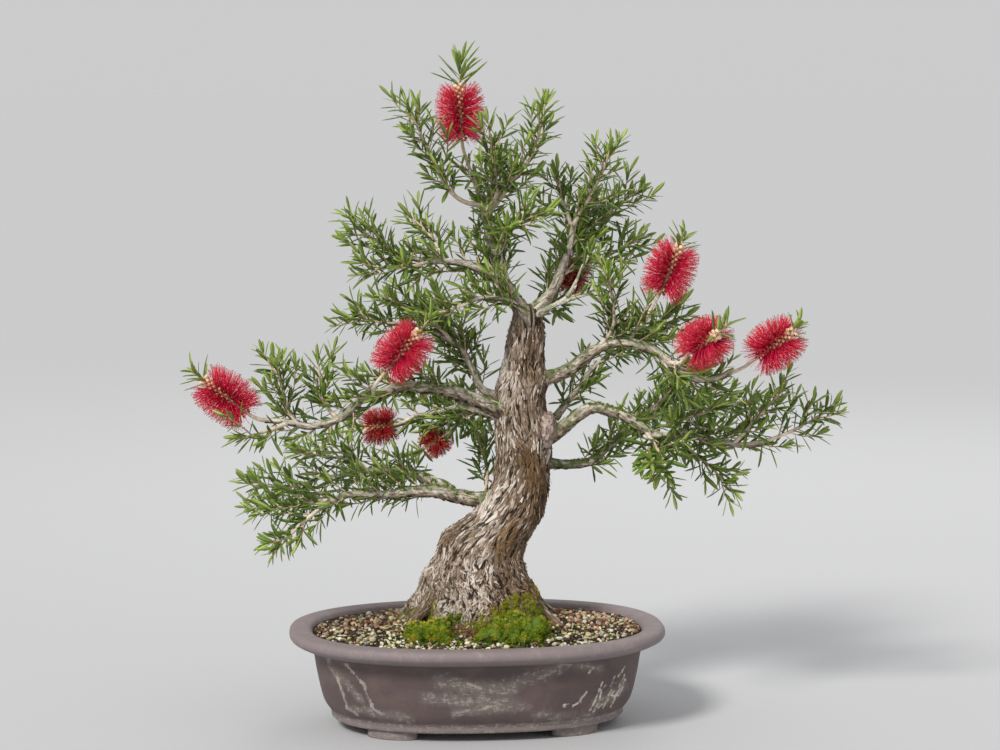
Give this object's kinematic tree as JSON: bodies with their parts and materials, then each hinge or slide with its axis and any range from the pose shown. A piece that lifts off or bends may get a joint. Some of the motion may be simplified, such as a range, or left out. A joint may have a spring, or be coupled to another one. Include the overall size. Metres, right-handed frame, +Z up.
{
  "type": "bottlebrush bonsai in pot",
  "caption": "Flowering bonsai tree with a flaky leaning trunk, spreading leafy branches and crimson brush flowers, in an oval unglazed pot on feet",
  "frame": {"origin": "the middle of the underside of the whole thing's bounding box, on the plane that the pot's feet stand on", "axes": "+Z up; +X to the right along the pot's length, seen from the tree's front; +Y away from the front, so -Y is the front"},
  "size_m": [0.7318, 0.3672, 0.7516],
  "materials": {
    "clay": "unglazed, matt, with pale mineral stains",
    "bark": "flaky papery bark, rough",
    "soil": "dark soil with fine gravel on top, rough",
    "moss": "soft matt moss",
    "leaf": "satin green leaves on thin brown twigs",
    "brush": "soft crimson filaments",
    "mesh": "matt black"
  },
  "bodies": {
    "root": {"crown_back": "leaf", "crown_left": "leaf", "crown_low_right": "leaf", "crown_mid": "leaf", "crown_right": "leaf", "crown_top": "leaf", "drain_mesh_left": "mesh", "drain_mesh_right": "mesh", "end_brush": "leaf", "far_left_brush": "leaf", "flower_crown_top": "brush", "flower_end": "brush", "flower_far_left": "brush", "flower_left": "brush", "flower_mid_right": "brush", "flower_rear": "brush", "flower_rear_left": "brush", "flower_rear_low": "brush", "flower_upper_right": "brush", "front_left_tip": "leaf", "heel_shoot": "leaf", "knob_up_tip": "leaf", "left_brush": "leaf", "left_rise_back": "leaf", "left_rise_side": "leaf", "left_rise_tip": "leaf", "low_left_back_rise": "leaf", "low_left_back_tip": "leaf", "low_left_side": "leaf", "low_left_tip": "leaf", "low_right_side": "leaf", "low_right_tip": "leaf", "mid_left_out": "leaf", "mid_left_rise": "leaf", "mid_left_rise_far": "leaf", "mid_right_brush": "leaf", "mid_right_drop": "leaf", "mid_right_rise": "leaf", "mid_right_rise_near": "leaf", "mid_right_tip": "leaf", "mid_right_under": "leaf", "moss_left": "moss", "moss_right": "moss", "pot": "clay", "rear_brush": "leaf", "rear_brush_low": "leaf", "rear_left_brush": "leaf", "right_back": "leaf", "right_low": "leaf", "right_out": "leaf", "right_top": "leaf", "right_top_left": "leaf", "soil": "soil", "tree_wood": "bark", "upper_left_rise": "leaf", "upper_left_tip": "leaf", "upper_left_under": "leaf", "upper_right_back": "leaf", "upper_right_brush": "leaf", "upper_right_top": "leaf"}
  },
  "joints": []
}
